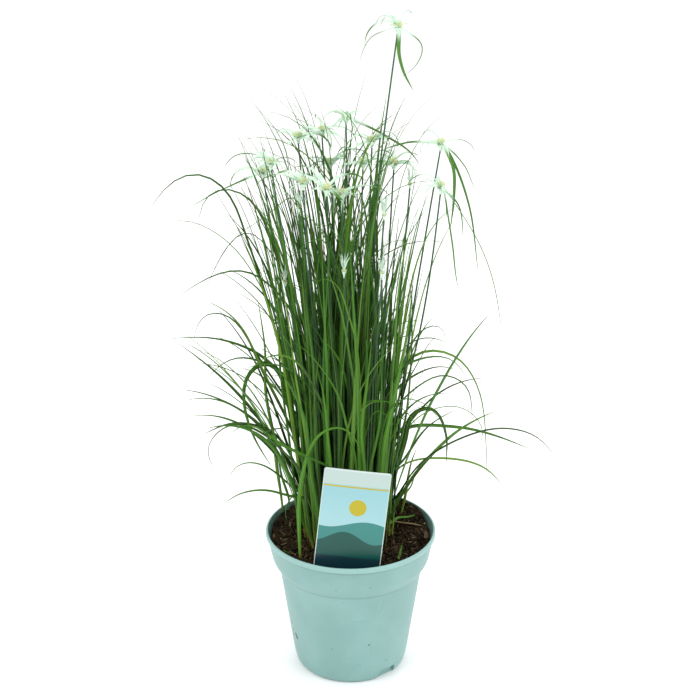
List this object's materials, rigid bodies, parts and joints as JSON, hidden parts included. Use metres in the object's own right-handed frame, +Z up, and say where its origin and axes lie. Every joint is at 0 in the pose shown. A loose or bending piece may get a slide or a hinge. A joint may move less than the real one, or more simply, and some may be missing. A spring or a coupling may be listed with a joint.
{
  "type": "potted beak sedge plant",
  "caption": "Grass-like sedge in a round plastic pot: a dense clump of narrow arching leaves and thin stems topped with stars of white bracts, with a plain plant label in the soil.",
  "frame": {"origin": "the middle of the pot's flat foot, on the surface that it stands on", "axes": "+Z up along the pot's axis, -Y towards the side with the plant label, +X to the right of that side"},
  "size_m": [0.4349, 0.292, 0.7343],
  "materials": {
    "pot": "pale blue-green moulded plastic, satin, with a few specks of soil",
    "soil": "dark brown crumbly potting soil with light fibres",
    "label": "thin printed plastic card, satin",
    "flower_stem": "dark green stem, white bracts that turn green towards their tips, straw-coloured spikelets",
    "leaf": "fresh green blade with fine lengthwise veins, pale at the base"
  },
  "bodies": {
    "root": {"flower_stem_01": "flower_stem", "flower_stem_02": "flower_stem", "flower_stem_03": "flower_stem", "flower_stem_04": "flower_stem", "flower_stem_05": "flower_stem", "flower_stem_06": "flower_stem", "flower_stem_07": "flower_stem", "flower_stem_08": "flower_stem", "flower_stem_09": "flower_stem", "flower_stem_10": "flower_stem", "flower_stem_11": "flower_stem", "flower_stem_12": "flower_stem", "flower_stem_13": "flower_stem", "flower_stem_14": "flower_stem", "flower_stem_15": "flower_stem", "flower_stem_16": "flower_stem", "flower_stem_17": "flower_stem", "flower_stem_18": "flower_stem", "flower_stem_19": "flower_stem", "flower_stem_20": "flower_stem", "flower_stem_21": "flower_stem", "flower_stem_22": "flower_stem", "leaf_shoot_01": "leaf", "leaf_shoot_02": "leaf", "leaf_shoot_03": "leaf", "leaf_shoot_04": "leaf", "leaf_shoot_05": "leaf", "leaf_shoot_06": "leaf", "leaf_shoot_07": "leaf", "leaf_shoot_08": "leaf", "leaf_shoot_09": "leaf", "leaf_shoot_10": "leaf", "leaf_shoot_11": "leaf", "leaf_shoot_12": "leaf", "leaf_shoot_13": "leaf", "leaf_shoot_14": "leaf", "leaf_shoot_15": "leaf", "leaf_shoot_16": "leaf", "leaf_shoot_17": "leaf", "leaf_shoot_18": "leaf", "leaf_shoot_19": "leaf", "leaf_shoot_20": "leaf", "leaf_shoot_21": "leaf", "leaf_shoot_22": "leaf", "leaf_shoot_23": "leaf", "leaf_shoot_24": "leaf", "leaf_shoot_25": "leaf", "leaf_shoot_26": "leaf", "leaf_shoot_27": "leaf", "leaf_shoot_28": "leaf", "leaf_shoot_29": "leaf", "plant_label": "label", "pot": "pot", "soil": "soil"}
  },
  "joints": []
}
